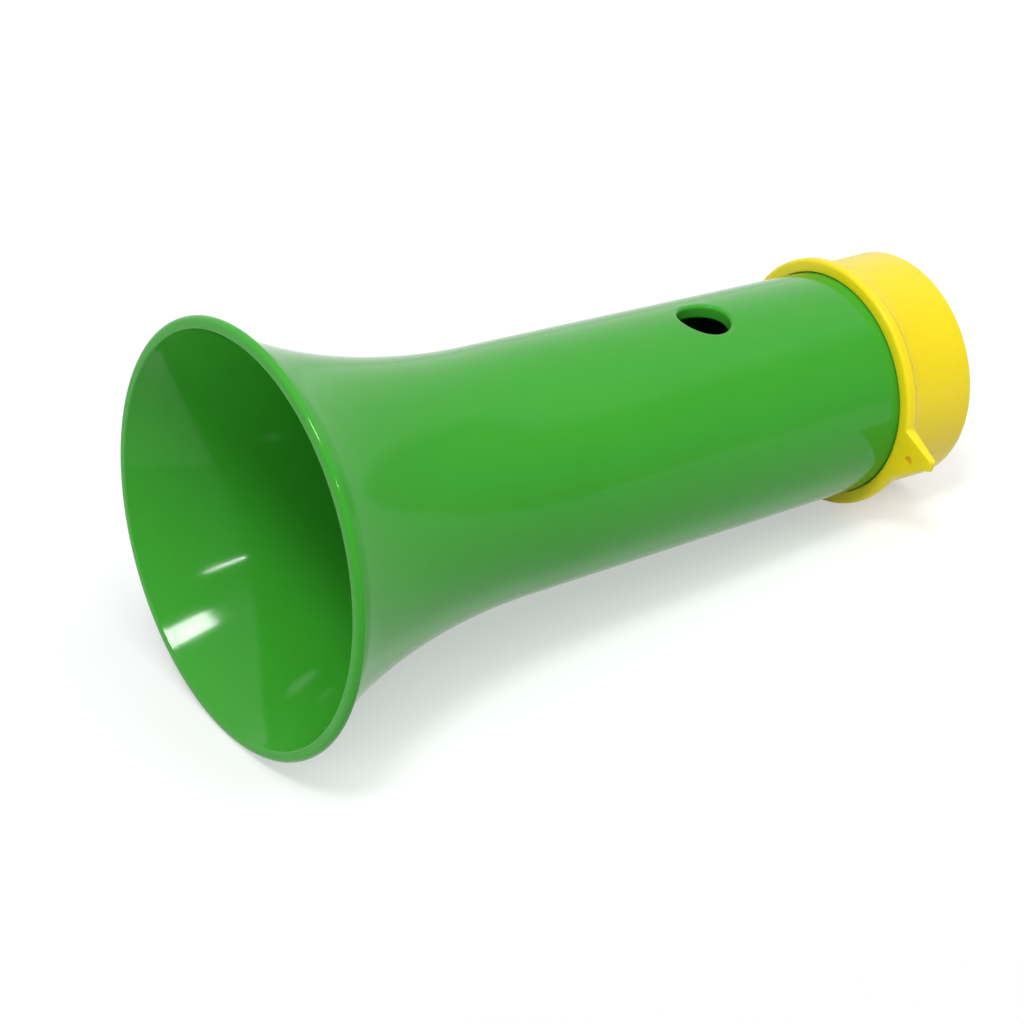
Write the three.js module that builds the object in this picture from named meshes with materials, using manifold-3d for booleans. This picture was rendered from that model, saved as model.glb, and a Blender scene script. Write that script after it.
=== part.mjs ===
// A membrane horn lying on its side: a flared green body with a blow hole in its upper side,
// and a yellow cap at the rear that carries the membrane and an ear for a neck cord.
// Millimetres, +Z up. The horn rests on z = 0 on its lip and on the cap's flange.
// Stations are lengths along the horn's axis, from the plane of the mouth towards the cap.
import * as THREE from "three";
import { mergeVertices } from "three/addons/utils/BufferGeometryUtils.js";
import Module from "manifold-3d";

const wasm = await Module();
wasm.setup();

// Shared by all pieces
const flats = 64; // flats round a turned piece, one of them facing straight down
const seatGap = 0.3; // between pieces that touch in the real horn
const cutterOverrun = 2; // how far a cutter runs past the material
const mergeDistance = 0.005; // points closer than this are one point
const arcSteps = 3; // chords in a rounded corner
const curveSteps = 12; // chords along the bell's flare
const innerCurveSteps = 7; // chords along the sound tube's flare

// Horn body: lip, flare and tube
const mouthRadius = 48; // to the outside of the lip
const lipFaceWidth = 1.2; // flat ring in the plane of the mouth
const lipRounding = 1.4; // outer edge of the lip
const lipBand = 0.8; // straight band round the lip
const lipStep = 1.8; // run of the concave step behind the lip
const lipInnerRounding = 0.3;
const lipHeight = 3; // how far the lip stands out from the flare behind it
const flareEndStation = 66;
const tubeTaper = 1.7; // how much the tube narrows from the throat to its end
const flareMouthReach = 11.5; // length of the curve's handle at the mouth, along the axis
const flareMouthFall = 7.6; // and across it
const flareThroatReach = 28;
const flareThroatFall = 0.6;
const bellWall = 2.6;
const tubeEndRadius = 26.9; // outside, where the tube ends inside the cap's flange
const chamberEndWall = 3.2; // wall of the tube in front of the counterbore
const counterboreWall = 1.6; // wall of the tube round the cap's spigot
const counterboreDepth = 15.9; // from the tube's end to the shoulder that clamps the membrane

// Blow hole
const blowHoleRadius = 6;
const blowHoleSetback = 30.3; // from the membrane's shoulder towards the bell
const blowHoleTurn = THREE.MathUtils.degToRad(8); // from the top towards the near side

// Sound tube: inner tube whose flared front closes the air chamber
const soundTubeBore = 11.7;
const soundTubeWall = 1.8;
const soundTubeLength = 64.3;
const soundTubeFlareLength = 26;
const soundTubeRimRounding = 0.7; // at the rear, where the membrane rests on it
const soundTubeRimLand = 0.5; // straight edge round the flared front, against the body

// Membrane and its hoop
const membraneThickness = 0.25;
const membraneInset = 0.4; // how far the membrane's edge lies inside the hoop's
const hoopDepth = 3.5;
const hoopWidth = 2.3;
const hoopRounding = 0.5;

// Cap
const capFrontStation = 165.6; // front face of the flange
const capLength = 22.8;
const flangeWidth = 3.2; // ring between the tube's socket and the flange's edge
const flangeThickness = 2.8;
const flangeRounding = 0.9;
const neckStep = 2.8; // how far the neck lies inside the flange
const neckFillet = 2.2;
const neckLength = 5.4; // from the flange to where the drum starts to widen
const drumGrowth = 0.4; // how much the drum widens from the neck to the rear rim
const drumRounding = 0.7; // of the rear rim
const drumWall = 2.3;
const endWall = 2.2;
const endDish = 0.8; // how deep the rear face lies inside its rim
const endRimWidth = 2.6; // flat ring round the dished rear face
const recessDepth = 2.9; // socket in the flange that takes the end of the tube
const spigotWall = 1.6;
const spigotLead = 0.7; // chamfer at the front of the spigot
const ventRadius = 4;

// Cap's ear
const earTurn = THREE.MathUtils.degToRad(104.5); // of its root, from the top to the near side
const earReach = 8.8; // from the flange's edge to the ear's tip
const earLean = 5.2; // how far the tip lies from the root's middle, towards the top
const earRootHalfWidth = 8.5;
const earTipHalfWidth = 1.6;
const earTipRounding = 1;
const earThickness = 2.4;
const earEyeRadius = 1.1;
const earEyeShare = 0.42; // where the eye lies on the way from the root's middle to the tip

const green = { color: 0x3fa52f, roughness: 0.22, metalness: 0 };
const innerGreen = { color: 0x2f8f2a, roughness: 0.3, metalness: 0 };
const yellow = { color: 0xf6d92b, roughness: 0.3, metalness: 0 };
const film = { color: 0xd9dcd6, roughness: 0.2, metalness: 0 };
const white = { color: 0xe9e9e4, roughness: 0.4, metalness: 0 };

// Places that follow from the sizes above
const flareStartRadius = mouthRadius - lipHeight;
const throatRadius = tubeEndRadius + tubeTaper;
const recessRadius = tubeEndRadius + seatGap;
const flangeRadius = recessRadius + flangeWidth;
const neckRadius = flangeRadius - neckStep;
const drumRadius = neckRadius + drumGrowth;
const earTipRadius = flangeRadius + earReach;
const earEyeDistance = THREE.MathUtils.lerp(neckRadius, earTipRadius, earEyeShare);
const recessFloor = capFrontStation + recessDepth;
const bodyEnd = recessFloor - seatGap;
const seat = bodyEnd - counterboreDepth;
const soundTubeFront = seat - soundTubeLength;
const blowHoleStation = seat - blowHoleSetback;
const counterboreRadius = tubeEndRadius - counterboreWall;
const spigotRadius = counterboreRadius - seatGap;
const spigotBore = spigotRadius - spigotWall;
const membraneFront = seat + seatGap;
const hoopFront = membraneFront + membraneThickness + seatGap;
const spigotFront = hoopFront + hoopDepth + seatGap;
const lipCorner = lipRounding + lipBand;

// A point of a turned outline, from its station and its radius.
const at = (station, radius) => new THREE.Vector2(radius, station);

// Points of an arc round a centre: 0 degrees points away from the axis, 90 towards the cap.
function arc(centre, radius, from, to) {
  const points = [];
  for (let i = 0; i <= arcSteps; i++) {
    const angle = THREE.MathUtils.degToRad(from + ((to - from) * i) / arcSteps);
    const reach = new THREE.Vector2(Math.cos(angle), Math.sin(angle));
    points.push(centre.clone().addScaledVector(reach, radius));
  }
  return points;
}

// Points of a curve pushed sideways by a wall thickness.
function offsetCurve(curve, wall) {
  const points = [];
  for (let i = 0; i <= curveSteps; i++) {
    const tangent = curve.getTangent(i / curveSteps);
    const inwards = new THREE.Vector2(-tangent.y, tangent.x);
    points.push(curve.getPoint(i / curveSteps).addScaledVector(inwards, wall));
  }
  return points;
}

// Radius on the straight line between two outline points, at a station.
function radiusBetween(a, b, station) {
  const share = (station - a.y) / (b.y - a.y);
  return THREE.MathUtils.lerp(a.x, b.x, share);
}

// Turns a closed outline round the axis.
function turned(outline) {
  const points = [...outline, outline[0].clone()];
  return new THREE.LatheGeometry(points, flats, Math.PI / flats, 2 * Math.PI);
}

function toSolid(geometry) {
  const bare = geometry.clone();
  bare.deleteAttribute("normal");
  bare.deleteAttribute("uv");
  const merged = mergeVertices(bare, mergeDistance);
  return new wasm.Manifold(
    new wasm.Mesh({
      numProp: 3,
      vertProperties: merged.getAttribute("position").array,
      triVerts: new Uint32Array(merged.getIndex().array),
    }),
  );
}

function toGeometry(solid) {
  const mesh = solid.getMesh();
  const geometry = new THREE.BufferGeometry();
  geometry.setAttribute("position", new THREE.BufferAttribute(mesh.vertProperties, 3));
  geometry.setIndex(new THREE.BufferAttribute(mesh.triVerts, 1));
  geometry.computeVertexNormals();
  return geometry;
}

function piece(name, geometry, look) {
  const mesh = new THREE.Mesh(geometry, new THREE.MeshStandardMaterial(look));
  mesh.name = name;
  return mesh;
}

// Outer surface of the flare, from just behind the lip to the throat.
const flare = new THREE.CubicBezierCurve(
  at(lipCorner + lipStep, flareStartRadius),
  at(lipCorner + lipStep + flareMouthReach, flareStartRadius - flareMouthFall),
  at(flareEndStation - flareThroatReach, throatRadius + flareThroatFall),
  at(flareEndStation, throatRadius),
);
const flareInside = offsetCurve(flare, bellWall);
const throatInside = flareInside[curveSteps];
const chamberEnd = at(seat, tubeEndRadius - chamberEndWall);

function hornBody() {
  const faceOuter = mouthRadius - lipRounding;
  const faceInner = faceOuter - lipFaceWidth;
  const lipCentre = at(lipRounding, faceOuter);
  const innerCentre = at(lipInnerRounding, faceInner);
  const outline = [
    ...arc(innerCentre, lipInnerRounding, 180, 270),
    ...arc(lipCentre, lipRounding, 270, 360),
    at(lipCorner, mouthRadius),
    ...flare.getPoints(curveSteps),
    at(bodyEnd, tubeEndRadius),
    at(bodyEnd, counterboreRadius),
    at(seat, counterboreRadius),
    chamberEnd,
    ...flareInside.slice().reverse(),
  ];
  const reach = throatRadius + cutterOverrun; // the cutter runs from the axis to outside the tube
  const hole = new THREE.CylinderGeometry(blowHoleRadius, blowHoleRadius, reach, flats / 2);
  hole.rotateX(Math.PI / 2);
  hole.translate(0, blowHoleStation, reach / 2);
  hole.rotateY(blowHoleTurn);
  const body = toSolid(turned(outline)).subtract(toSolid(hole));
  return piece("horn_body", toGeometry(body), green);
}

function soundTube() {
  const tubeRadius = soundTubeBore + soundTubeWall;
  const front = soundTubeFront;
  const flareEnd = front + soundTubeFlareLength;
  const midway = (front + flareEnd) / 2;
  const rimStation = front + soundTubeRimLand;
  const frontRadius = radiusBetween(throatInside, chamberEnd, rimStation) - seatGap;
  const inner = new THREE.CubicBezierCurve(
    at(front, frontRadius - soundTubeWall),
    at(midway, (frontRadius + soundTubeBore) / 2),
    at(midway, soundTubeBore),
    at(flareEnd, soundTubeBore),
  );
  const outer = new THREE.CubicBezierCurve(
    at(rimStation, frontRadius),
    at(midway + soundTubeWall, (frontRadius + tubeRadius) / 2),
    at(midway + soundTubeWall, tubeRadius),
    at(flareEnd + soundTubeWall, tubeRadius),
  );
  const rear = seat - soundTubeRimRounding;
  const rimInner = at(rear, soundTubeBore + soundTubeRimRounding);
  const rimOuter = at(rear, tubeRadius - soundTubeRimRounding);
  const outline = [
    ...inner.getPoints(innerCurveSteps).reverse(),
    at(front, frontRadius),
    ...outer.getPoints(innerCurveSteps),
    ...arc(rimOuter, soundTubeRimRounding, 0, 90),
    ...arc(rimInner, soundTubeRimRounding, 90, 180),
  ];
  return piece("sound_tube", turned(outline), innerGreen);
}

function membrane() {
  const radius = spigotRadius - membraneInset;
  const disc = new THREE.CylinderGeometry(radius, radius, membraneThickness, flats);
  const mesh = piece("membrane", disc, film);
  mesh.position.y = membraneFront + membraneThickness / 2;
  return mesh;
}

function membraneHoop() {
  const inner = spigotRadius - hoopWidth;
  const outline = [
    at(0, inner),
    at(0, spigotRadius),
    at(hoopDepth - hoopRounding, spigotRadius),
    at(hoopDepth, spigotRadius - hoopRounding),
    at(hoopDepth, inner + hoopRounding),
    at(hoopDepth - hoopRounding, inner),
  ];
  const mesh = piece("membrane_hoop", turned(outline), white);
  mesh.position.y = hoopFront;
  return mesh;
}

// The ear is a triangular tab with a blunt tip and a small eye, in the plane of the flange. Its tip
// leans towards the top, so that its upper side stands nearly straight out of the flange.
function ear() {
  const rootRadius = neckRadius;
  const tipShoulder = earTipRadius - earTipRounding;
  const upperTip = earLean + earTipHalfWidth;
  const lowerTip = earLean - earTipHalfWidth;
  const shape = new THREE.Shape();
  shape.moveTo(-earRootHalfWidth, rootRadius);
  shape.lineTo(earRootHalfWidth, rootRadius);
  shape.lineTo(upperTip, tipShoulder);
  shape.quadraticCurveTo(upperTip, earTipRadius, earLean, earTipRadius);
  shape.quadraticCurveTo(lowerTip, earTipRadius, lowerTip, tipShoulder);
  shape.closePath();
  const eye = new THREE.Path();
  eye.absarc(earLean * earEyeShare, earEyeDistance, earEyeRadius, 0, 2 * Math.PI, true);
  shape.holes.push(eye);
  const tab = new THREE.ExtrudeGeometry(shape, {
    depth: earThickness,
    bevelEnabled: false,
    curveSegments: arcSteps,
  });
  tab.rotateX(-Math.PI / 2);
  tab.rotateY(Math.PI + earTurn);
  tab.translate(0, (flangeThickness - earThickness) / 2, 0);
  return toSolid(tab);
}

// The cap's stations are counted from the front face of its flange.
function cap() {
  const spigotStart = spigotFront - capFrontStation;
  const drumBore = neckRadius - drumWall;
  const drumFloor = capLength - endDish - endWall;
  const filletCentre = at(flangeThickness + neckFillet, neckRadius + neckFillet);
  const dishRadius = drumRadius - endRimWidth;
  const outline = [
    at(0, recessRadius),
    ...arc(at(flangeRounding, flangeRadius - flangeRounding), flangeRounding, 270, 360),
    ...arc(
      at(flangeThickness - flangeRounding, flangeRadius - flangeRounding),
      flangeRounding,
      0,
      90,
    ).slice(0, -1),
    ...arc(filletCentre, neckFillet, 270, 180),
    at(flangeThickness + neckLength, neckRadius),
    ...arc(at(capLength - drumRounding, drumRadius - drumRounding), drumRounding, 0, 90),
    at(capLength, dishRadius + endDish),
    at(capLength - endDish, dishRadius),
    at(capLength - endDish, ventRadius),
    at(drumFloor, ventRadius),
    at(drumFloor, drumBore),
    at(recessDepth + endWall, drumBore),
    at(recessDepth + endWall, spigotBore),
    at(spigotStart, spigotBore),
    at(spigotStart, spigotRadius - spigotLead),
    at(spigotStart + spigotLead, spigotRadius),
    at(recessDepth, spigotRadius),
    at(recessDepth, recessRadius),
  ];
  const solid = toSolid(turned(outline)).add(ear());
  const mesh = piece("cap", toGeometry(solid), yellow);
  mesh.position.y = capFrontStation;
  return mesh;
}

// The group's own +Y is the horn's axis. It is laid along +X and tipped until the lip's rear
// corner and the flange's rear corner both touch the ground.
const flatShare = Math.cos(Math.PI / flats); // a flat's middle lies this share of the radius out
const flangeCorner = capFrontStation + flangeThickness - flangeRounding;
const restTilt = Math.atan2((mouthRadius - flangeRadius) * flatShare, flangeCorner - lipCorner);

const horn = new THREE.Group();
horn.add(hornBody(), soundTube(), membrane(), membraneHoop(), cap());
horn.rotation.set(0, restTilt, -Math.PI / 2);

const part = new THREE.Group();
part.add(horn);
part.updateMatrixWorld(true);
const box = new THREE.Box3().setFromObject(horn, true);
const middle = box.getCenter(new THREE.Vector3());
horn.position.set(-middle.x, -middle.y, -box.min.z);

export default part;
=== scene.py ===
import bpy
import bmesh
import math
from mathutils import Matrix, Vector


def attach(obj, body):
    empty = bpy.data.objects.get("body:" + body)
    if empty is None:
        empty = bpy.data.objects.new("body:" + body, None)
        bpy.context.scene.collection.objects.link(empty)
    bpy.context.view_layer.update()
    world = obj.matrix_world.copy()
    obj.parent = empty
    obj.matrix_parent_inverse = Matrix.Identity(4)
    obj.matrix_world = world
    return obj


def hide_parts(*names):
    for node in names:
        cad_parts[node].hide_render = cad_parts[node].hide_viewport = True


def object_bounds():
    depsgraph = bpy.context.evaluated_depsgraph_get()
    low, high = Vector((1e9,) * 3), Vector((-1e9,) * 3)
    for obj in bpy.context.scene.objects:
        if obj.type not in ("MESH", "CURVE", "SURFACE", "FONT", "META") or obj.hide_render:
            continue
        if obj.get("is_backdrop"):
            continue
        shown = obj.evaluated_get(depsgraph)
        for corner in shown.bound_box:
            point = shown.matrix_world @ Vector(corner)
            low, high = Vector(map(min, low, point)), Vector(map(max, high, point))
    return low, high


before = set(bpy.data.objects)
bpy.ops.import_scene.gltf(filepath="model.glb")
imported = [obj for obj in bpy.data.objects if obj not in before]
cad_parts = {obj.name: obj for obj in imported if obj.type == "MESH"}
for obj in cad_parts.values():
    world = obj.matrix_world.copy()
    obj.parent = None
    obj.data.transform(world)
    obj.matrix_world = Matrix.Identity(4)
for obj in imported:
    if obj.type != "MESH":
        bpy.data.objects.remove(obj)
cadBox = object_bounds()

print("frame loaded:", ", ".join(sorted(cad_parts)))

# Sizes are in millimetres and angles in degrees. Stations run along the horn's axis from the
# mouth to the cap, and turns go from the top of the lying horn to its near side.
lying = {
    "mouthCentre": (-92.653, 0, 47.906),
    "dip": 6.0703,          # how far the axis dips towards the cap
    "seamTurn": -14,        # where the turned meshes start
    "segments": 240,
    "weld": 0.001,          # points nearer than this are one point
    "sharpAngle": 38,       # edges that bend more than this are shaded as edges
}

perMetre = 1000


def metres(length):
    return length / perMetre


def hornMatrix():
    # lays a horn that was made upright along Z where the real one lies
    dip = math.radians(lying["dip"])
    upward = (math.sin(dip), 0, math.cos(dip))
    near = (0, -1, 0)
    towardsCap = (math.cos(dip), 0, -math.sin(dip))
    turned = Matrix((upward, near, towardsCap)).transposed().to_4x4()
    placed = Matrix.Translation(Vector(lying["mouthCentre"]))
    return Matrix.Scale(metres(1), 4) @ placed @ turned


# Outlines are lists of pairs of station and radius
def arc(station, radius, size, start, end, steps):
    # the angle 0 points away from the axis and 90 towards the cap
    points = []
    for i in range(steps + 1):
        angle = math.radians(start + (end - start) * i / steps)
        points.append((station + size * math.sin(angle), radius + size * math.cos(angle)))
    return points


def bezier(start, startHandle, endHandle, end, steps):
    corners = (start, startHandle, endHandle, end)
    points = []
    for i in range(steps + 1):
        t = i / steps
        shares = ((1 - t) ** 3, 3 * t * (1 - t) ** 2, 3 * t * t * (1 - t), t ** 3)
        point = [sum(share * corner[k] for share, corner in zip(shares, corners)) for k in (0, 1)]
        points.append(tuple(point))
    return points


def line(start, end, steps):
    return [tuple(start[k] + (end[k] - start[k]) * i / steps for k in (0, 1)) for i in range(steps + 1)]


def onHorn(station, radius, turn):
    return (radius * math.cos(turn), radius * math.sin(turn), station)


def closedGrid(rows, columns, isOpen=lambda row, column: False):
    # faces of a grid of points that closes on itself both ways, apart from its open cells
    faces = []
    for i in range(rows):
        nextRow = (i + 1) % rows * columns
        for j in range(columns):
            if isOpen(i, j):
                continue
            n = (j + 1) % columns
            faces.append((i * columns + j, i * columns + n, nextRow + n, nextRow + j))
    return faces


def facedOutwards(mesh, weld=0):
    # turns the mesh's faces outwards, and first joins its doubled points where a weld is given
    shell = bmesh.new()
    shell.from_mesh(mesh)
    if weld:
        bmesh.ops.remove_doubles(shell, verts=shell.verts, dist=weld)
    bmesh.ops.recalc_face_normals(shell, faces=shell.faces)
    shell.to_mesh(mesh)
    shell.free()


def newObject(name, data):
    added = bpy.data.objects.new(name, data)
    bpy.context.scene.collection.objects.link(added)
    return added


def finished(name, mesh, material, body, node):
    # cleans the mesh, lays it where the horn lies and hands it over
    facedOutwards(mesh, lying["weld"])
    mesh.transform(hornMatrix())
    mesh.materials.clear()
    mesh.materials.append(material)
    mesh.shade_smooth()
    mesh.set_sharp_from_angle(angle=math.radians(lying["sharpAngle"]))
    piece = newObject(name, mesh)
    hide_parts(node)
    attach(piece, body)
    print("made", name, "with", len(mesh.polygons), "faces")


def linear(hexColour):
    # sRGB to linear, by the curve of the sRGB standard
    channels = []
    for i in (1, 3, 5):
        c = int(hexColour[i:i + 2], 16) / 255
        channels.append(c / 12.92 if c <= 0.04045 else ((c + 0.055) / 1.055) ** 2.4)
    return (*channels, 1)


def addNode(tree, kind, settings=None, links=None):
    # settings go to a socket of that name or number, or else to the node itself
    node = tree.nodes.new(kind)
    for key, value in (settings or {}).items():
        if isinstance(key, int) or key in node.inputs:
            node.inputs[key].default_value = value
        else:
            setattr(node, key, value)
    for key, source in (links or {}).items():
        tree.links.new(source, node.inputs[key])
    return node


def emptyMaterial(name):
    material = bpy.data.materials.new(name)
    material.use_nodes = True
    material.node_tree.nodes.clear()
    return material, material.node_tree


def patternCoordinates(tree):
    # the horn's own directions: X up, Y to the near side, Z along the axis, in metres
    unscaled = (hornMatrix() @ Matrix.Scale(perMetre, 4)).inverted()
    where = addNode(tree, "ShaderNodeTexCoord")
    return addNode(tree, "ShaderNodeMapping", {
        "Location": unscaled.to_translation(),
        "Rotation": unscaled.to_euler(),
    }, {"Vector": where.outputs["Object"]})


# How the patterns of all the mouldings are layered, and which part of a pattern's range is used
patterns = {
    "flowDetail": 3.0, "flowRoughness": 0.55, "flowLow": 0.3, "flowHigh": 0.7,
    "markDetail": 4.0, "markRoughness": 0.7, "markLow": 0.35, "markHigh": 0.75,
    "waveDetail": 1.0, "waveRoughness": 0.4,
    "grainDetail": 2.0, "grainRoughness": 0.5,
}


# Injection-moulded plastic: one even colour with the faintest flow marks, a skin as smooth as the
# polished mould, slow waves where thick and thin walls shrank apart, and hairline handling marks.
# The real grain of a mould is finer than the picture can show, so it is drawn coarser
def mouldedPlastic(name, look):
    material, tree = emptyMaterial(name)
    where = patternCoordinates(tree).outputs["Vector"]
    flow = addNode(tree, "ShaderNodeTexNoise", {
        "Scale": perMetre / look["flowSize"],
        "Detail": patterns["flowDetail"], "Roughness": patterns["flowRoughness"],
    }, {"Vector": where})
    shade = addNode(tree, "ShaderNodeMapRange", {
        "From Min": patterns["flowLow"], "From Max": patterns["flowHigh"],
        "To Min": 1 - look["flowDepth"], "To Max": 1 + look["flowDepth"],
    }, {"Value": flow.outputs["Fac"]})
    tint = addNode(tree, "ShaderNodeHueSaturation", {"Color": linear(look["colour"])},
                   {"Value": shade.outputs["Result"]})
    stretched = addNode(tree, "ShaderNodeMapping", {"Scale": look["markStretch"]}, {"Vector": where})
    marks = addNode(tree, "ShaderNodeTexNoise", {
        "Scale": perMetre / look["markSize"],
        "Detail": patterns["markDetail"], "Roughness": patterns["markRoughness"],
    }, {"Vector": stretched.outputs["Vector"]})
    gloss = addNode(tree, "ShaderNodeMapRange", {
        "From Min": patterns["markLow"], "From Max": patterns["markHigh"],
        "To Min": look["roughness"], "To Max": look["roughnessWorn"],
    }, {"Value": marks.outputs["Fac"]})
    waves = addNode(tree, "ShaderNodeTexNoise", {
        "Scale": perMetre / look["waveSize"],
        "Detail": patterns["waveDetail"], "Roughness": patterns["waveRoughness"],
    }, {"Vector": where})
    slow = addNode(tree, "ShaderNodeBump", {
        "Strength": 1.0, "Distance": metres(look["waveHeight"]),
    }, {"Height": waves.outputs["Fac"]})
    grain = addNode(tree, "ShaderNodeTexNoise", {
        "Scale": perMetre / look["grainSize"],
        "Detail": patterns["grainDetail"], "Roughness": patterns["grainRoughness"],
    }, {"Vector": where})
    skin = addNode(tree, "ShaderNodeBump", {
        "Strength": 1.0, "Distance": metres(look["grainHeight"]),
    }, {"Height": grain.outputs["Fac"], "Normal": slow.outputs["Normal"]})
    surface = addNode(tree, "ShaderNodeBsdfPrincipled", {
        "IOR": look["ior"],
        "Specular IOR Level": look["specular"],
        "Subsurface Weight": look["glow"],
        "Subsurface Radius": look["glowReach"],
        "Subsurface Scale": metres(1),
    }, {
        "Base Color": tint.outputs["Color"],
        "Roughness": gloss.outputs["Result"],
        "Normal": skin.outputs["Normal"],
    })
    addNode(tree, "ShaderNodeOutputMaterial", links={"Surface": surface.outputs["BSDF"]})
    return material


# Polypropylene from a polished mould: clear green right through, with sharp, weak reflections
greenLook = {
    "colour": "#3ea62f",
    "roughness": 0.08, "roughnessWorn": 0.14,
    "ior": 1.49, "specular": 0.2,
    "flowSize": 26, "flowDepth": 0.025,
    "markSize": 3, "markStretch": (1, 1, 0.12),
    "waveSize": 22, "waveHeight": 0.02,
    "grainSize": 1.4, "grainHeight": 0.0006,
    "glow": 0.35, "glowReach": (0.4, 1.2, 0.3),
}

# The same plastic, pigmented yellow, from a mould with a duller finish
yellowLook = {
    "colour": "#ffdf21",
    "roughness": 0.27, "roughnessWorn": 0.36,
    "ior": 1.49, "specular": 0.25,
    "flowSize": 18, "flowDepth": 0.02,
    "markSize": 2.2, "markStretch": (1, 1, 0.3),
    "waveSize": 16, "waveHeight": 0.01,
    "grainSize": 1.6, "grainHeight": 0.0015,
    "glow": 0.6, "glowReach": (3.0, 2.2, 0.5),
}

# Unpigmented plastic of the hoop, off-white and plain
whiteLook = {
    "colour": "#e6e5df",
    "roughness": 0.38, "roughnessWorn": 0.5,
    "ior": 1.49, "specular": 0.45,
    "flowSize": 14, "flowDepth": 0.015,
    "markSize": 1.6, "markStretch": (1, 1, 1),
    "waveSize": 12, "waveHeight": 0.006,
    "grainSize": 0.5, "grainHeight": 0.001,
    "glow": 0.0, "glowReach": (1.0, 1.0, 1.0),
}

greenPolypropylene = mouldedPlastic("green polypropylene, polished mould", greenLook)
yellowPolypropylene = mouldedPlastic("yellow polypropylene, satin mould", yellowLook)
whitePolypropylene = mouldedPlastic("natural white polypropylene", whiteLook)

# Horn body
hornBody = {
    "mouthRadius": 47.89,
    "faceStation": 0.05,
    "lipFaceWidth": 1.1,
    "lipRounding": 1.15,
    "lipBand": 0.2,
    "lipBackRounding": 0.35,
    "lipBackSweep": 80,
    "lipHeight": 3,
    "lipFillet": 1.0,
    "lipInnerRounding": 0.45,
    "lipInnerStart": 205,   # how far round its edge the inner rounding starts
    "lipInnerSteps": 5,
    "lipFaceSteps": 3,
    "lipRoundingSteps": 9,
    "lipBackSteps": 5,
    "lipFilletSteps": 8,
    "insideMouthReach": 12,
    "insideMouthFall": 7.2,
    "flareStart": 4.0,
    "flareEnd": 66,
    "flareMouthReach": 11.5,
    "flareMouthFall": 7.6,
    "flareThroatReach": 28,
    "flareThroatFall": 0.6,
    "flareSteps": 60,
    "throatRadius": 28.58,
    "wall": 2.6,
    "tubeStep": 4,          # about how far apart the tube's rings of points are
    "tubeEnd": 168.2,
    "tubeEndRadius": 26.88,
    "tubeEndRounding": 0.35,
    "tubeEndSteps": 4,
    "seat": 152.3,
    "seatBore": 23.7,
    "counterbore": 25.3,
}

blowHole = {
    "station": 122.6,
    "turn": 5,
    "radius": 6.2,
    "outerRounding": 1.0,
    "outerSteps": 6,
    "innerRounding": 0.25,
    "innerSteps": 4,
    "windowReach": 8.6,     # half length of the mesh window round the hole
    "windowCells": 24,
    "rings": 7,             # from the window's border to the hole's edge
    "ringCrowding": 0.6,    # how much closer they get towards the edge
    "wallRings": 6,
}


def radiusAt(points, station):
    # radius of an outline that only runs forwards, at a station
    for a, b in zip(points, points[1:]):
        low, high = sorted((a, b))
        if low[0] <= station <= high[0]:
            return low[1] + (high[1] - low[1]) * (station - low[0]) / (high[0] - low[0])
    return points[-1][1]


def windowStations():
    reach, cells = blowHole["windowReach"], blowHole["windowCells"]
    return [blowHole["station"] - reach + 2 * reach * i / cells for i in range(cells + 1)]


def stationsBetween(start, end, step):
    count = max(1, round(abs(end - start) / step))
    return [start + (end - start) * i / count for i in range(count + 1)]


def tubeStations(end):
    # from behind the flare to the end, with the hole's window in between
    window, step = windowStations(), hornBody["tubeStep"]
    before = stationsBetween(hornBody["flareEnd"], window[0], step)[1:-1]
    return before + window + stationsBetween(window[-1], end, step)[1:]


def flareCurve(start, mouthReach, mouthFall, endRadius):
    body = hornBody
    return bezier(
        start,
        (start[0] + mouthReach, start[1] - mouthFall),
        (body["flareEnd"] - body["flareThroatReach"], endRadius + body["flareThroatFall"]),
        (body["flareEnd"], endRadius),
        body["flareSteps"],
    )


def lipOutline(faceInner, flare):
    # from inside the mouth, over the flat front ring and the rounded lip, to the flare's third point
    body = hornBody
    face = body["faceStation"]
    faceOuter = body["mouthRadius"] - body["lipRounding"]
    flareRadius = flare[0][1]
    backEdge = face + body["lipRounding"] + body["lipBand"]
    back = backEdge + body["lipBackRounding"]
    outline = arc(face + body["lipInnerRounding"], faceInner, body["lipInnerRounding"],
                  body["lipInnerStart"], 270, body["lipInnerSteps"])
    outline += line((face, faceInner), (face, faceOuter), body["lipFaceSteps"])[1:-1]
    outline += arc(face + body["lipRounding"], faceOuter, body["lipRounding"],
                   270, 360, body["lipRoundingSteps"])
    outline += arc(backEdge, body["mouthRadius"] - body["lipBackRounding"], body["lipBackRounding"],
                   0, body["lipBackSweep"], body["lipBackSteps"])
    outline += bezier(outline[-1], (back, flareRadius + body["lipFillet"]),
                      (back, flareRadius + body["lipFillet"] / 2), flare[2],
                      body["lipFilletSteps"])[1:-1]
    return outline


def hornOutline(tube, tubeInside, faceInner, flare, flareInside):
    # the wall's closed outline, and the rows where the hole's window starts outside and inside
    body = hornBody
    rounding = body["tubeEndRounding"]
    window = windowStations()
    outline = lipOutline(faceInner, flare) + flare[2:]
    outerStations = tubeStations(body["tubeEnd"] - rounding)
    outerRow = len(outline) + outerStations.index(window[0])
    outline += [(station, radiusAt(tube, station)) for station in outerStations]
    outline += arc(body["tubeEnd"] - rounding, body["tubeEndRadius"] - rounding, rounding,
                   0, 90, body["tubeEndSteps"])
    outline += [(body["tubeEnd"], body["counterbore"]), (body["seat"], body["counterbore"])]
    innerStations = tubeStations(body["seat"])[::-1]
    innerRow = len(outline) + innerStations.index(window[-1])
    outline += [(station, radiusAt(tubeInside, station)) for station in innerStations]
    outline += flareInside[:0:-1]
    return outline, outerRow, innerRow


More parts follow.
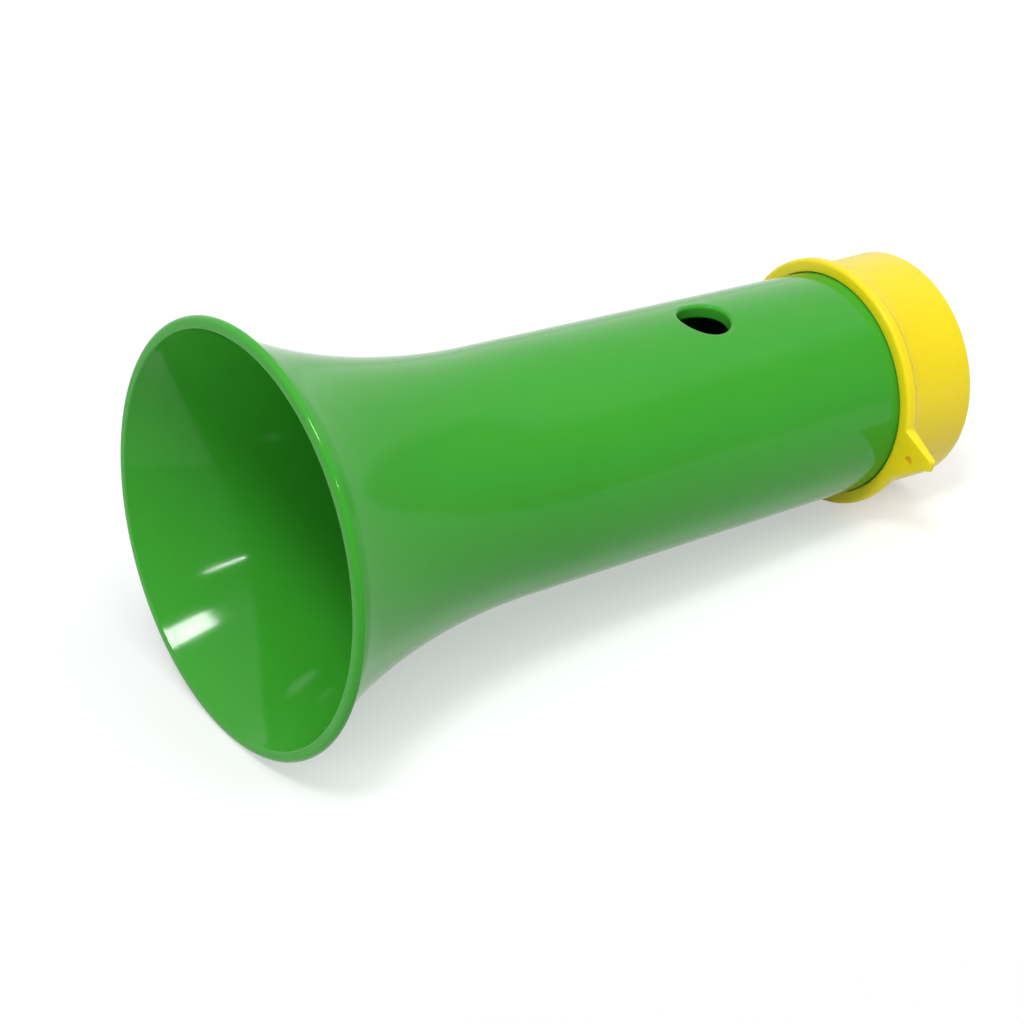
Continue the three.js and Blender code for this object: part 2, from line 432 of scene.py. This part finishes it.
def windowBorder(firstRow, firstColumn, backwards):
    # row and column of each point round the hole's window, from its first corner
    cells = blowHole["windowCells"]
    rows = list(range(firstRow, firstRow + cells + 1))
    if backwards:
        rows.reverse()
    columns = list(range(firstColumn, firstColumn + cells + 1))
    border = [(rows[0], column) for column in columns]
    border += [(row, columns[-1]) for row in rows[1:]]
    border += [(rows[-1], column) for column in columns[-2::-1]]
    border += [(row, columns[0]) for row in rows[-2:0:-1]]
    return border


def onWall(wallLine, x, y, raised=0):
    # a point on the wall, x along the horn and y across it from the hole's middle
    middle = math.radians(blowHole["turn"])
    station = blowHole["station"] + x
    radius = radiusAt(wallLine, station)
    height = math.sqrt(radius * radius - y * y) + raised
    return (height * math.cos(middle) - y * math.sin(middle),
            height * math.sin(middle) + y * math.cos(middle), station)


def ringsTowards(edge, wallLine, offsets):
    # rings of points on the wall, from the window's border to the edge of the hole
    crowding = blowHole["ringCrowding"]
    rings = []
    for k in range(1, blowHole["rings"] + 1):
        t = k / blowHole["rings"]
        t = t * (1 + crowding - crowding * t)
        ring = []
        for x, y in offsets:
            size = math.hypot(x, y)
            ring.append(onWall(wallLine, x + (edge * x / size - x) * t, y + (edge * y / size - y) * t))
        rings.append(ring)
    return rings


def roundedRing(wallLine, ways, rounding, angle, side):
    # a ring of points on the hole's rounded edge; the side is -1 outside and 1 inside
    reach = blowHole["radius"] + rounding - rounding * math.sin(angle)
    raised = side * rounding * (1 - math.cos(angle))
    return [onWall(wallLine, reach * x, reach * y, raised) for x, y in ways]


def holeRings(tube, tubeInside, outerOffsets, innerOffsets):
    # rings of points that lead in from the tube's outside, down the hole and out along its inside
    hole = blowHole
    outerWays, innerWays = ([(x / math.hypot(x, y), y / math.hypot(x, y)) for x, y in offsets]
                            for offsets in (outerOffsets, innerOffsets))
    rings = ringsTowards(hole["radius"] + hole["outerRounding"], tube, outerOffsets)
    for k in range(1, hole["outerSteps"] + 1):
        angle = math.radians(90 * k / hole["outerSteps"])
        rings.append(roundedRing(tube, outerWays, hole["outerRounding"], angle, -1))
    top = [Vector(point) for point in rings[-1]]
    bottom = [Vector(onWall(tubeInside, hole["radius"] * x, hole["radius"] * y, hole["innerRounding"]))
              for x, y in innerWays]
    for k in range(1, hole["wallRings"] + 1):
        rings.append([tuple(high.lerp(low, k / hole["wallRings"])) for high, low in zip(top, bottom)])
    for k in range(hole["innerSteps"] - 1, -1, -1):
        angle = math.radians(90 * k / hole["innerSteps"])
        rings.append(roundedRing(tubeInside, innerWays, hole["innerRounding"], angle, 1))
    innerRings = ringsTowards(hole["radius"] + hole["innerRounding"], tubeInside, innerOffsets)
    return rings + innerRings[-2::-1]


def band(first, second):
    # faces between two closed rings of points
    count = len(first)
    return [(first[k], first[(k + 1) % count], second[(k + 1) % count], second[k])
            for k in range(count)]


def makeHornBody():
    body = hornBody
    faceInner = body["mouthRadius"] - body["lipRounding"] - body["lipFaceWidth"]
    insideStart = (body["faceStation"] + body["lipInnerRounding"], faceInner - body["lipInnerRounding"])
    flare = flareCurve((body["flareStart"], body["mouthRadius"] - body["lipHeight"]),
                       body["flareMouthReach"], body["flareMouthFall"], body["throatRadius"])
    flareInside = flareCurve(insideStart, body["insideMouthReach"], body["insideMouthFall"],
                             body["throatRadius"] - body["wall"])
    tube = [flare[-1], (body["tubeEnd"], body["tubeEndRadius"])]
    tubeInside = [flareInside[-1], (body["seat"], body["seatBore"])]
    outline, outerRow, innerRow = hornOutline(tube, tubeInside, faceInner, flare, flareInside)
    columns = lying["segments"]
    cells = blowHole["windowCells"]
    turns = [math.radians(lying["seamTurn"] + 360 * j / columns) for j in range(columns)]
    firstColumn = round((blowHole["turn"] - lying["seamTurn"]) * columns / 360) - cells // 2

    def inWindow(row, column):
        inRows = outerRow <= row < outerRow + cells or innerRow <= row < innerRow + cells
        return inRows and firstColumn <= column < firstColumn + cells

    def offsets(border):
        # the border's points, along and across the horn from the hole's middle
        middle = math.radians(blowHole["turn"])
        return [(outline[row][0] - blowHole["station"],
                 outline[row][1] * math.sin(turns[column] - middle)) for row, column in border]

    vertices = [onHorn(station, radius, turn) for station, radius in outline for turn in turns]
    faces = closedGrid(len(outline), columns, inWindow)
    outerBorder = windowBorder(outerRow, firstColumn, False)
    innerBorder = windowBorder(innerRow, firstColumn, True)
    previous = [row * columns + column for row, column in outerBorder]
    for ring in holeRings(tube, tubeInside, offsets(outerBorder), offsets(innerBorder)):
        current = list(range(len(vertices), len(vertices) + len(ring)))
        vertices += ring
        faces += band(previous, current)
        previous = current
    faces += band(previous, [row * columns + column for row, column in innerBorder])
    mesh = bpy.data.meshes.new("hornBodyShell")
    mesh.from_pydata(vertices, [], faces)
    finished("hornBodyShell", mesh, greenPolypropylene, "horn", "horn_body")


makeHornBody()

# Cap, with stations counted from the front of its flange
cap = {
    "front": 165.6,
    "socket": 27.2,
    "flange": 30.2,
    "flangeThickness": 2.8,
    "flangeRounding": 0.9,
    "flangeRows": 6,        # of points across its front face, and over the first half of the sweep
    "flangeFrontSteps": 6,
    "flangeRearSteps": 5,
    "rearSlope": 42,        # how far the flange's edge rounds over before the sweep to the neck
    "sweepEnd": 6.6,
    "sweepReaches": (0.8, 2.4),
    "neck": 27.8,
    "drumStart": 8.2,
    "drum": 27.96,
    "drumSteps": 6,
    "drumRounding": 0.7,
    "drumRoundingSteps": 6,
    "length": 22.8,
    "endRim": 2.6,
    "dish": 0.8,
    "dishEdge": (1.4, 0.6, 0.2, -0.6),  # curve from the rim into the dish, in depths of the dish
    "dishEdgeSteps": 6,
    "dishFlat": 2,
    "dishFlatSteps": 4,
    "vent": 4,
    "ventFlat": 1,
    "ventRounding": 0.4,
    "ventSteps": 4,
    "endWall": 2.2,
    "cornerRounding": 1,
    "cornerSteps": 4,
    "drumBore": 25.3,
    "socketDepth": 2.9,
    "innerWallEnd": 5.1,
    "spigotBore": 23.4,
    "spigot": 25.0,
    "spigotFront": -8.65,
    "spigotLead": 0.7,
}

ear = {
    "turn": 104.5,          # of its root's middle
    "tip": 39.16,           # from the horn's axis
    "lean": 5.2,            # of the tip, towards the top
    "rootHalfWidth": 8.5,
    "rootRadius": 27.6,
    "tipHalfWidth": 1.6,
    "tipRounding": 1.0,
    "sideSteps": 80,
    "tipSteps": 16,
    "taper": 0.1,           # how much thinner it gets for each millimetre that it stands out
    "rootBlend": 0.5,       # softness of the corner between ear and flange
    "eye": 1.1,
    "eyeShare": 0.42,       # where the eye lies on the way from the root to the tip
    "eyeSegments": 32,
    "tipReach": 5,          # how far round the tip the mesh has its finest steps,
    "tipStep": 0.25,
    "reach": 21,            # and how far round the root it has its fine ones
    "step": 0.5,
    "farStep": 1.5,
    "leastStep": 0.001,     # keeps a last column from falling on the first
}


def earOutline():
    # the ear's outline, as pairs of angle from the root's middle towards the top, and radius
    shoulder = ear["tip"] - ear["tipRounding"]
    low, high = ear["lean"] - ear["tipHalfWidth"], ear["lean"] + ear["tipHalfWidth"]
    top = (ear["lean"], ear["tip"])
    points = line((-ear["rootHalfWidth"], ear["rootRadius"]), (low, shoulder), ear["sideSteps"])
    points += bezier((low, shoulder), (low, ear["tip"]), (low, ear["tip"]), top, ear["tipSteps"])[1:]
    points += bezier(top, (high, ear["tip"]), (high, ear["tip"]), (high, shoulder), ear["tipSteps"])[1:]
    points += line((high, shoulder), (ear["rootHalfWidth"], ear["rootRadius"]), ear["sideSteps"])[1:]
    return [(math.atan2(across, out), math.hypot(across, out)) for across, out in points]


def softened(over):
    blend = ear["rootBlend"]
    return (over + math.sqrt(over * over + blend * blend)) / 2


def earExtra(turn, outline):
    # how far the flange's edge stands out at a turn, because of the ear
    offset = (math.radians(ear["turn"]) - turn + math.pi) % (2 * math.pi) - math.pi
    if not outline[0][0] < offset < outline[-1][0]:
        return 0
    reach = next(a[1] + (b[1] - a[1]) * (offset - a[0]) / (b[0] - a[0])
                 for a, b in zip(outline, outline[1:]) if b[0] >= offset)
    return max(0, softened(reach - cap["flange"]) - softened(outline[0][1] - cap["flange"]))


def capTurns():
    # fine steps over the ear, coarser ones round the rest of the cap
    tipTurn = ear["turn"] - math.degrees(math.atan2(ear["lean"], ear["tip"]))
    turns = []
    at = ear["turn"] - 180
    while at < ear["turn"] + 180 - ear["leastStep"]:
        turns.append(math.radians(at))
        if abs(at - tipTurn) < ear["tipReach"]:
            at += ear["tipStep"]
        elif abs(at - ear["turn"]) < ear["reach"]:
            at += ear["step"]
        else:
            at += ear["farStep"]
    return turns


def flangeRows():
    # the part of the cap's outline that the ear pulls out, with the share of it that each row takes
    count = cap["flangeRows"]
    edge = cap["flange"] - cap["flangeRounding"]
    face = line((0, cap["socket"]), (0, edge), count)
    front = arc(cap["flangeRounding"], edge, cap["flangeRounding"],
                270, 360, cap["flangeFrontSteps"])[1:]
    rear = arc(cap["flangeThickness"] - cap["flangeRounding"], edge, cap["flangeRounding"],
               0, cap["rearSlope"], cap["flangeRearSteps"])
    slope = math.radians(cap["rearSlope"])
    outward, inward = cap["sweepReaches"]
    station, radius = rear[-1]
    sweep = bezier((station, radius),
                   (station + outward * math.cos(slope), radius - outward * math.sin(slope)),
                   (cap["sweepEnd"] - inward, cap["neck"]), (cap["sweepEnd"], cap["neck"]),
                   2 * count)[1:]
    rows = [(0, radius, i / count) for i, (_, radius) in enumerate(face)]
    rows += [(station, radius, 1) for station, radius in front + rear]
    for i, (station, radius) in enumerate(sweep):
        rows.append((station, radius, max(0, 1 - (i + 1) / count)))
    return rows


def drumOutline():
    # from the neck over the drum, its dished end and its vent, and inside to the spigot and socket
    length, rounding = cap["length"], cap["drumRounding"]
    outline = line((cap["drumStart"], cap["neck"]), (length - rounding, cap["drum"]),
                   cap["drumSteps"])[:-1]
    outline += arc(length - rounding, cap["drum"] - rounding, rounding, 0, 90, cap["drumRoundingSteps"])
    dishEdge = cap["drum"] - cap["endRim"]
    dishFloor = length - cap["dish"]
    radii = [dishEdge + share * cap["dish"] for share in cap["dishEdge"]]
    outline += bezier((length, radii[0]), (length, radii[1]), (dishFloor, radii[2]),
                      (dishFloor, radii[3]), cap["dishEdgeSteps"])
    outline += line((dishFloor, dishEdge - cap["dishFlat"]),
                    (dishFloor, cap["vent"] + cap["ventFlat"]), cap["dishFlatSteps"])
    outline += arc(dishFloor - cap["ventRounding"], cap["vent"] + cap["ventRounding"],
                   cap["ventRounding"], 90, 180, cap["ventSteps"])
    inside = dishFloor - cap["endWall"]
    corner = cap["cornerRounding"]
    outline += [(inside, cap["vent"]), (inside, cap["drumBore"] - corner)]
    outline += arc(inside - corner, cap["drumBore"] - corner, corner, 90, 0, cap["cornerSteps"])[1:]
    outline += [
        (cap["innerWallEnd"], cap["drumBore"]),
        (cap["innerWallEnd"], cap["spigotBore"]),
        (cap["spigotFront"], cap["spigotBore"]),
        (cap["spigotFront"], cap["spigot"] - cap["spigotLead"]),
        (cap["spigotFront"] + cap["spigotLead"], cap["spigot"]),
        (cap["socketDepth"], cap["spigot"]),
        (cap["socketDepth"], cap["socket"]),
    ]
    return outline


def pierced(mesh):
    # cuts the ear's eye with a round pin
    across = ear["lean"] * ear["eyeShare"]
    out = ear["rootRadius"] + (ear["tip"] - ear["rootRadius"]) * ear["eyeShare"]
    turn = math.radians(ear["turn"]) - math.atan2(across, out)
    middle = Vector(onHorn(cap["front"] + cap["flangeThickness"] / 2, math.hypot(across, out), turn))
    pin = bmesh.new()
    bmesh.ops.create_cone(pin, cap_ends=True, segments=ear["eyeSegments"], radius1=ear["eye"],
                          radius2=ear["eye"], depth=3 * cap["flangeThickness"],
                          matrix=Matrix.Translation(middle))
    pinMesh = bpy.data.meshes.new("eyePin")
    pin.to_mesh(pinMesh)
    pin.free()
    facedOutwards(mesh)
    blank = newObject("capBlank", mesh)
    cutter = newObject("eyePin", pinMesh)
    cut = blank.modifiers.new("eye", "BOOLEAN")
    cut.operation = "DIFFERENCE"
    cut.solver = "EXACT"
    cut.object = cutter
    graph = bpy.context.evaluated_depsgraph_get()
    result = bpy.data.meshes.new_from_object(blank.evaluated_get(graph))
    for item in (blank, cutter):
        bpy.data.objects.remove(item)
    return result


def makeCap():
    rows = flangeRows() + [(station, radius, 0) for station, radius in drumOutline()]
    outline = earOutline()
    turns = capTurns()
    extras = [earExtra(turn, outline) for turn in turns]
    vertices = []
    for station, radius, share in rows:
        taper = ear["taper"] * share if station > cap["flangeThickness"] / 2 else 0
        vertices += [onHorn(cap["front"] + station - taper * extra, radius + share * extra, turn)
                     for turn, extra in zip(turns, extras)]
    mesh = bpy.data.meshes.new("capShell")
    mesh.from_pydata(vertices, [], closedGrid(len(rows), len(turns)))
    finished("capShell", pierced(mesh), yellowPolypropylene, "cap", "cap")


makeCap()


# Turned inner pieces: a closed outline carried round a circle. The outline's X is how far a point
# lies outside the bore, and its Y is minus its station
def turnedTree():
    tree = bpy.data.node_groups.new("turned piece", "GeometryNodeTree")
    face = tree.interface
    face.new_socket("Outline", in_out="INPUT", socket_type="NodeSocketGeometry")
    face.new_socket("Bore", in_out="INPUT", socket_type="NodeSocketFloat")
    face.new_socket("Segments", in_out="INPUT", socket_type="NodeSocketInt")
    face.new_socket("Finish", in_out="INPUT", socket_type="NodeSocketMaterial")
    face.new_socket("Piece", in_out="OUTPUT", socket_type="NodeSocketGeometry")
    given = addNode(tree, "NodeGroupInput")
    profile = addNode(tree, "GeometryNodeMeshToCurve", links={"Mesh": given.outputs["Outline"]})
    circle = addNode(tree, "GeometryNodeCurvePrimitiveCircle", links={
        "Resolution": given.outputs["Segments"], "Radius": given.outputs["Bore"]})
    swept = addNode(tree, "GeometryNodeCurveToMesh", links={
        "Curve": circle.outputs["Curve"], "Profile Curve": profile.outputs["Curve"]})
    real = addNode(tree, "GeometryNodeRealizeInstances", links={"Geometry": swept.outputs["Mesh"]})
    dressed = addNode(tree, "GeometryNodeSetMaterial", links={
        "Geometry": real.outputs["Geometry"], "Material": given.outputs["Finish"]})
    addNode(tree, "NodeGroupOutput", links={"Piece": dressed.outputs["Geometry"]})
    return tree


turnedPieceTree = turnedTree()


def makeTurned(name, outline, bore, material, body, node):
    points = [(radius - bore, -station, 0) for station, radius in outline]
    edges = [(i, (i + 1) % len(points)) for i in range(len(points))]
    mesh = bpy.data.meshes.new(name + "Outline")
    mesh.from_pydata(points, edges, [])
    blank = newObject(name + "Outline", mesh)
    turning = blank.modifiers.new("turning", "NODES")
    turning.node_group = turnedPieceTree
    inputs = {"Bore": float(bore), "Segments": lying["segments"], "Finish": material}
    for socket in turnedPieceTree.interface.items_tree:
        if socket.in_out == "INPUT" and socket.name in inputs:
            turning[socket.identifier] = inputs[socket.name]
    graph = bpy.context.evaluated_depsgraph_get()
    result = bpy.data.meshes.new_from_object(blank.evaluated_get(graph))
    result.name = name
    blank.modifiers.clear()
    bpy.data.objects.remove(blank)
    finished(name, result, material, body, node)


soundTube = {
    "bore": 11.7,
    "wall": 1.8,
    "front": 88,
    "frontRadius": 25.05,
    "flareEnd": 114,
    "flareSteps": 24,
    "rear": 152.3,
    "rimRounding": 0.7,
    "rimSteps": 6,
    "rimLand": 0.5,
}


def makeSoundTube():
    tube = soundTube
    outside = tube["bore"] + tube["wall"]
    midway = (tube["front"] + tube["flareEnd"]) / 2
    inner = bezier((tube["front"], tube["frontRadius"] - tube["wall"]),
                   (midway, (tube["frontRadius"] + tube["bore"]) / 2),
                   (midway, tube["bore"]), (tube["flareEnd"], tube["bore"]), tube["flareSteps"])
    outer = bezier((tube["front"] + tube["rimLand"], tube["frontRadius"]),
                   (midway + tube["wall"], (tube["frontRadius"] + outside) / 2),
                   (midway + tube["wall"], outside),
                   (tube["flareEnd"] + tube["wall"], outside), tube["flareSteps"])
    rounding = tube["rimRounding"]
    outline = inner[::-1] + [(tube["front"], tube["frontRadius"])] + outer
    outline += arc(tube["rear"] - rounding, outside - rounding, rounding, 0, 90, tube["rimSteps"])
    outline += arc(tube["rear"] - rounding, tube["bore"] + rounding, rounding,
                   90, 180, tube["rimSteps"])
    makeTurned("soundTubeTurned", outline, tube["bore"], greenPolypropylene,
               "horn", "sound_tube")


makeSoundTube()

membraneHoop = {
    "front": 153.15,
    "depth": 3.5,
    "bore": 22.7,
    "outside": 24.97,
    "rounding": 0.5,
    "roundingSteps": 5,
}


def makeMembraneHoop():
    hoop = membraneHoop
    rounding = hoop["rounding"]
    rear = hoop["front"] + hoop["depth"]
    outline = [(hoop["front"], hoop["bore"]), (hoop["front"], hoop["outside"])]
    outline += arc(rear - rounding, hoop["outside"] - rounding, rounding, 0, 90, hoop["roundingSteps"])
    outline += arc(rear - rounding, hoop["bore"] + rounding, rounding, 90, 180, hoop["roundingSteps"])
    makeTurned("membraneHoopTurned", outline, hoop["bore"], whitePolypropylene,
               "membrane_set", "membrane_hoop")


makeMembraneHoop()

# Polyethylene film, drawn tight: milky and a little cloudy, with a smooth skin and faint wrinkles
membraneFilm = {
    "colour": "#d9dcd6",
    "roughness": 0.3,
    "ior": 1.51,
    "wrinkleSize": 7,
    "wrinkleHeight": 0.03,
    "wrinkleDetail": 3.0,
    "wrinkleRoughness": 0.6,
    "wrinkleLow": 0.3,
    "wrinkleHigh": 0.7,
    "darkest": 0.94,
    "palest": 1.03,
}


def dressFilm():
    film = membraneFilm
    material, tree = emptyMaterial("polyethylene film")
    where = patternCoordinates(tree).outputs["Vector"]
    wrinkles = addNode(tree, "ShaderNodeTexNoise", {
        "Scale": perMetre / film["wrinkleSize"],
        "Detail": film["wrinkleDetail"], "Roughness": film["wrinkleRoughness"],
    }, {"Vector": where})
    cloud = addNode(tree, "ShaderNodeMapRange", {
        "From Min": film["wrinkleLow"], "From Max": film["wrinkleHigh"],
        "To Min": film["darkest"], "To Max": film["palest"],
    }, {"Value": wrinkles.outputs["Fac"]})
    tint = addNode(tree, "ShaderNodeHueSaturation", {"Color": linear(film["colour"])},
                   {"Value": cloud.outputs["Result"]})
    bump = addNode(tree, "ShaderNodeBump", {"Distance": metres(film["wrinkleHeight"])},
                   {"Height": wrinkles.outputs["Fac"]})
    surface = addNode(tree, "ShaderNodeBsdfPrincipled", {
        "Roughness": film["roughness"], "IOR": film["ior"],
    }, {"Base Color": tint.outputs["Color"], "Normal": bump.outputs["Normal"]})
    addNode(tree, "ShaderNodeOutputMaterial", links={"Surface": surface.outputs["BSDF"]})
    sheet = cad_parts["membrane"]
    sheet.data.materials.clear()
    sheet.data.materials.append(material)
    print("dressed membrane")


dressFilm()

# Studio, in metres. Ways point away from the horn, and radiances are shares of white
lamps = {
    # above and in front of the mouth: the main light, and the shadow
    "softbox": {"way": (-0.335, -0.27, 0.9), "distance": 2.5, "size": 0.48, "radiance": 26},
    # the bright patch inside the bell
    "window": {"way": (-0.385, -0.19, 0.903), "distance": 2.5, "size": 0.42, "radiance": 58,
               "roll": 45, "onlyInGloss": True},
    # wide and soft, above the near side
    "diffuser": {"way": (0.1, -0.42, 0.9), "distance": 3.0, "size": 2.4, "radiance": 2.75},
    # the long streak inside the bell
    "strip": {"way": (-0.259, -0.644, 0.736), "distance": 2.5, "size": 0.42, "height": 0.022,
              "radiance": 180, "onlyInGloss": True},
    # low, into the mouth
    "mouthFill": {"way": (-0.93, -0.12, 0.35), "distance": 2.5, "size": 1.2, "radiance": 3.3},
}

studio = {
    "white": (1, 1, 1, 1),
    "paper": "#c5c6c7",
    "paperGlow": 0.47,      # lifts the sheet to white where nothing shades it,
    "farGlow": 0.8,         # and more so where the lamps no longer reach
    "lampReach": (0.3, 3.5),
    "paperFront": (0.159, -0.237),
    "paperEdgeWay": (0.894, -0.447),
    "paperSize": 6.0,
    "roomLight": 0.34,
    "roomRadius": 6.0,
    "roomSubdivisions": 5,
}

# What the gloss sees of the room: pale behind the horn and overhead, dim round the photographer.
# Each way has a fade, which says how far a direction leans towards it where the change starts and
# where it ends. The dim side is bounded by its top, to the right and left of the camera, and its end
glossRoom = {
    "dim": 0.5,
    "ceiling": 1.2,
    "overhead": 1.4,
    "behind": 1.3,
    "dimTopRight": (-0.754, 0.23, 1.0),
    "dimTopRightFade": (-0.05, 0.07),
    "dimTopLeft": (0.632, 1.01, 1.0),
    "dimTopLeftFade": (0.1, 0.55),
    "dimEnd": (0.05, 1.0, 0.0),
    "dimEndFade": (-0.06, 0.1),
    "overheadWay": (0, 0, 1),
    "overheadFade": (0.55, 0.9),
    "behindWay": (0.643, 0.766, 0.0),
    "behindFade": (0.72, 0.97),
}


def seenDirectly(tree):
    # 1 for what the camera sees straight, in gloss or through glass
    path = addNode(tree, "ShaderNodeLightPath")
    both = addNode(tree, "ShaderNodeMath", {"operation": "ADD"}, {
        0: path.outputs["Is Camera Ray"], 1: path.outputs["Is Glossy Ray"]})
    return addNode(tree, "ShaderNodeMath", {"operation": "ADD", "use_clamp": True}, {
        0: both.outputs["Value"], 1: path.outputs["Is Transmission Ray"]}).outputs["Value"]


def makeRoom():
    world = bpy.data.worlds.new("pale room")
    world.use_nodes = True
    bpy.context.scene.world = world
    tree = world.node_tree
    tree.nodes.clear()
    light = addNode(tree, "ShaderNodeBackground", {
        "Color": studio["white"], "Strength": studio["roomLight"]})
    white = addNode(tree, "ShaderNodeBackground", {"Color": studio["white"], "Strength": 1.0})
    mix = addNode(tree, "ShaderNodeMixShader", links={
        0: seenDirectly(tree), 1: light.outputs["Background"], 2: white.outputs["Background"]})
    addNode(tree, "ShaderNodeOutputWorld", links={"Surface": mix.outputs["Shader"]})


def whitePaper():
    # matt and bright: its own glow makes up for what the lamps leave grey
    material, tree = emptyMaterial("matt white paper")
    paint = addNode(tree, "ShaderNodeBsdfDiffuse", {"Color": linear(studio["paper"])})
    where = addNode(tree, "ShaderNodeTexCoord")
    away = addNode(tree, "ShaderNodeVectorMath", {"operation": "LENGTH"}, {0: where.outputs["Object"]})
    reachStart, reachEnd = studio["lampReach"]
    amount = addNode(tree, "ShaderNodeMapRange", {
        "interpolation_type": "SMOOTHSTEP", "From Min": reachStart, "From Max": reachEnd,
        "To Min": studio["paperGlow"], "To Max": studio["farGlow"],
    }, {"Value": away.outputs["Value"]})
    lift = addNode(tree, "ShaderNodeMath", {"operation": "MULTIPLY"}, {
        0: seenDirectly(tree), 1: amount.outputs["Result"]})
    glow = addNode(tree, "ShaderNodeEmission", {"Color": studio["white"]},
                   {"Strength": lift.outputs["Value"]})
    both = addNode(tree, "ShaderNodeAddShader", links={
        0: paint.outputs["BSDF"], 1: glow.outputs["Emission"]})
    addNode(tree, "ShaderNodeOutputMaterial", links={"Surface": both.outputs["Shader"]})
    material.cycles.emission_sampling = "NONE"
    return material


def makePaper():
    # a finite sheet: its front edge is what ends the pale reflection along the tube
    side = Vector((*studio["paperEdgeWay"], 0)).normalized()
    back = Vector((-side.y, side.x, 0))
    front = Vector((*studio["paperFront"], 0))
    size = studio["paperSize"]
    half = size / 2
    corners = [front - side * half, front + side * half,
               front + side * half + back * size, front - side * half + back * size]
    mesh = bpy.data.meshes.new("paper")
    mesh.from_pydata([tuple(corner) for corner in corners], [], [(0, 1, 2, 3)])
    mesh.materials.append(whitePaper())
    sheet = newObject("paper", mesh)
    sheet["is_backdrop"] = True


def studioWalls():
    # as bright as the studio is in each direction
    room = glossRoom
    material, tree = emptyMaterial("studio room in the gloss")
    where = addNode(tree, "ShaderNodeTexCoord")
    direction = addNode(tree, "ShaderNodeVectorMath", {"operation": "NORMALIZE"},
                        {0: where.outputs["Object"]}).outputs["Vector"]

    def towards(way, fade):
        # rises from 0 to 1 as the direction leans towards a way
        fadeStart, fadeEnd = room[fade]
        unit = tuple(Vector(room[way]).normalized())
        leaning = addNode(tree, "ShaderNodeVectorMath", {"operation": "DOT_PRODUCT", 1: unit},
                          {0: direction})
        return addNode(tree, "ShaderNodeMapRange", {
            "interpolation_type": "SMOOTHSTEP", "From Min": fadeStart, "From Max": fadeEnd,
        }, {"Value": leaning.outputs["Value"]}).outputs["Result"]

    aboveBoth = addNode(tree, "ShaderNodeMath", {"operation": "MINIMUM"}, {
        0: towards("dimTopRight", "dimTopRightFade"), 1: towards("dimTopLeft", "dimTopLeftFade")})
    lit = addNode(tree, "ShaderNodeMath", {"operation": "MAXIMUM"}, {
        0: aboveBoth.outputs["Value"], 1: towards("dimEnd", "dimEndFade")})
    overhead = addNode(tree, "ShaderNodeMapRange", {
        "To Min": room["ceiling"], "To Max": room["overhead"],
    }, {"Value": towards("overheadWay", "overheadFade")})
    bright = addNode(tree, "ShaderNodeMapRange", {"To Max": room["behind"]}, {
        "Value": towards("behindWay", "behindFade"), "To Min": overhead.outputs["Result"]})
    radiance = addNode(tree, "ShaderNodeMapRange", {"To Min": room["dim"]}, {
        "Value": lit.outputs["Value"], "To Max": bright.outputs["Result"]})
    glow = addNode(tree, "ShaderNodeEmission", {"Color": studio["white"]},
                   {"Strength": radiance.outputs["Result"]})
    addNode(tree, "ShaderNodeOutputMaterial", links={"Surface": glow.outputs["Emission"]})
    material.cycles.emission_sampling = "NONE"
    return material


def makeRoomInGloss():
    # a great sphere that only gloss sees
    shell = bmesh.new()
    bmesh.ops.create_icosphere(shell, subdivisions=studio["roomSubdivisions"],
                               radius=studio["roomRadius"])
    bmesh.ops.reverse_faces(shell, faces=shell.faces)
    mesh = bpy.data.meshes.new("roomInGloss")
    shell.to_mesh(mesh)
    shell.free()
    mesh.materials.append(studioWalls())
    room = newObject("roomInGloss", mesh)
    room.visible_camera = False
    room.visible_diffuse = False
    room.visible_shadow = False
    room.visible_transmission = False
    room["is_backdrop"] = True


def makeLamp(name):
    # a rectangle that faces the horn; it either lights or shows in the gloss, never both
    known = lamps[name]
    direction = Vector(known["way"]).normalized()
    height = known.get("height", known["size"])
    onlyInGloss = known.get("onlyInGloss", False)
    lamp = bpy.data.lights.new(name, "AREA")
    lamp.shape = "RECTANGLE"
    lamp.size = known["size"]
    lamp.size_y = height
    lamp.energy = known["radiance"] * math.pi * known["size"] * height
    holder = newObject(name, lamp)
    holder.location = direction * known["distance"]
    holder.rotation_mode = "QUATERNION"
    roll = Matrix.Rotation(math.radians(known.get("roll", 0)), 3, "Z")
    holder.rotation_quaternion = direction.to_track_quat("Z", "Y") @ roll.to_quaternion()
    holder.visible_camera = False
    holder.visible_glossy = onlyInGloss
    holder.visible_diffuse = not onlyInGloss


makeRoom()
makePaper()
makeRoomInGloss()
for lampName in lamps:
    makeLamp(lampName)
print("studio ready")

# The photograph's own view: a long lens from the front left, above the horn
photoView = {
    "fromMouth": (-235.4, -421.5, 314.6),
    "forward": (0.4965, 0.68, -0.5395),
    "right": (0.8076, -0.5897, 0),
    "lens": 96.71,
    "sensor": 36,
    "nearClip": 0.01,       # in metres
    "farClip": 50,
}


def makeCamera():
    forward = Vector(photoView["forward"]).normalized()
    right = Vector(photoView["right"]).normalized()
    upward = right.cross(forward)
    camera = bpy.data.cameras.new("photoView")
    camera.lens = photoView["lens"]
    camera.sensor_width = photoView["sensor"]
    camera.clip_start = photoView["nearClip"]
    camera.clip_end = photoView["farClip"]
    holder = newObject("photoView", camera)
    place = Matrix((right, upward, -forward)).transposed().to_4x4()
    place.translation = (Vector(lying["mouthCentre"]) + Vector(photoView["fromMouth"])) / perMetre
    holder.matrix_world = place
    bpy.context.scene.camera = holder


makeCamera()
bpy.context.scene.view_settings.view_transform = "Standard"
print("camera ready")

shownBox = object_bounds()
for boxName, box in (("cad", cadBox), ("visual", shownBox)):
    print(boxName, "box in mm", [tuple(round(perMetre * x, 2) for x in c) for c in box])
